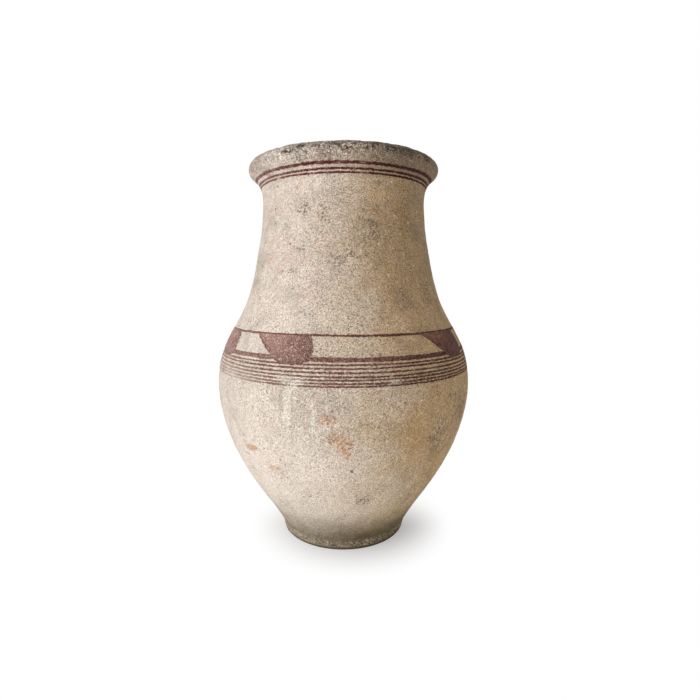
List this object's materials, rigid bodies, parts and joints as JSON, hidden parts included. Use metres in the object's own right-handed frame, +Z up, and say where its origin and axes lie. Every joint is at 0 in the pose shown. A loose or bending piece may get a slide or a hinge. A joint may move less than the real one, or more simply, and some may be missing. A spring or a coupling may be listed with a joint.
{
  "type": "pithos storage jar",
  "caption": "Tall open storage jar of coarse pale clay with a low foot, round belly, wide neck and flared rim, painted with dark red-brown lines, a band and hanging panels.",
  "frame": {"origin": "centre of the standing face under the base disc", "axes": "+Z up along the jar's axis, -Y towards the side that the picture shows"},
  "size_m": [0.6184, 0.6184, 0.9],
  "materials": {
    "slipped_clay": "matte, coarse cream slip, worn and stained",
    "bare_clay": "matte, unslipped coarse clay",
    "red_brown_paint": "matte iron-rich slip paint, worn"
  },
  "bodies": {
    "root": {"base_disc": "slipped_clay", "floor_coil": "bare_clay", "lower_wall": "slipped_clay", "middle_wall": "slipped_clay", "belly": "slipped_clay", "upper_belly": "slipped_clay", "shoulder": "slipped_clay", "lower_neck": "slipped_clay", "upper_neck": "slipped_clay", "rim": "slipped_clay", "rim_line_1": "red_brown_paint", "rim_line_2": "red_brown_paint", "rim_line_3": "red_brown_paint", "shoulder_line": "red_brown_paint", "broad_band": "red_brown_paint", "belly_line_1": "red_brown_paint", "belly_line_2": "red_brown_paint", "belly_line_3": "red_brown_paint", "belly_line_4": "red_brown_paint", "belly_line_5": "red_brown_paint", "belly_line_6": "red_brown_paint", "belly_line_7": "red_brown_paint", "hanging_panel_1": "red_brown_paint", "hanging_panel_2": "red_brown_paint", "hanging_panel_3": "red_brown_paint", "hanging_panel_4": "red_brown_paint", "hanging_panel_5": "red_brown_paint", "hanging_panel_6": "red_brown_paint"}
  },
  "joints": []
}
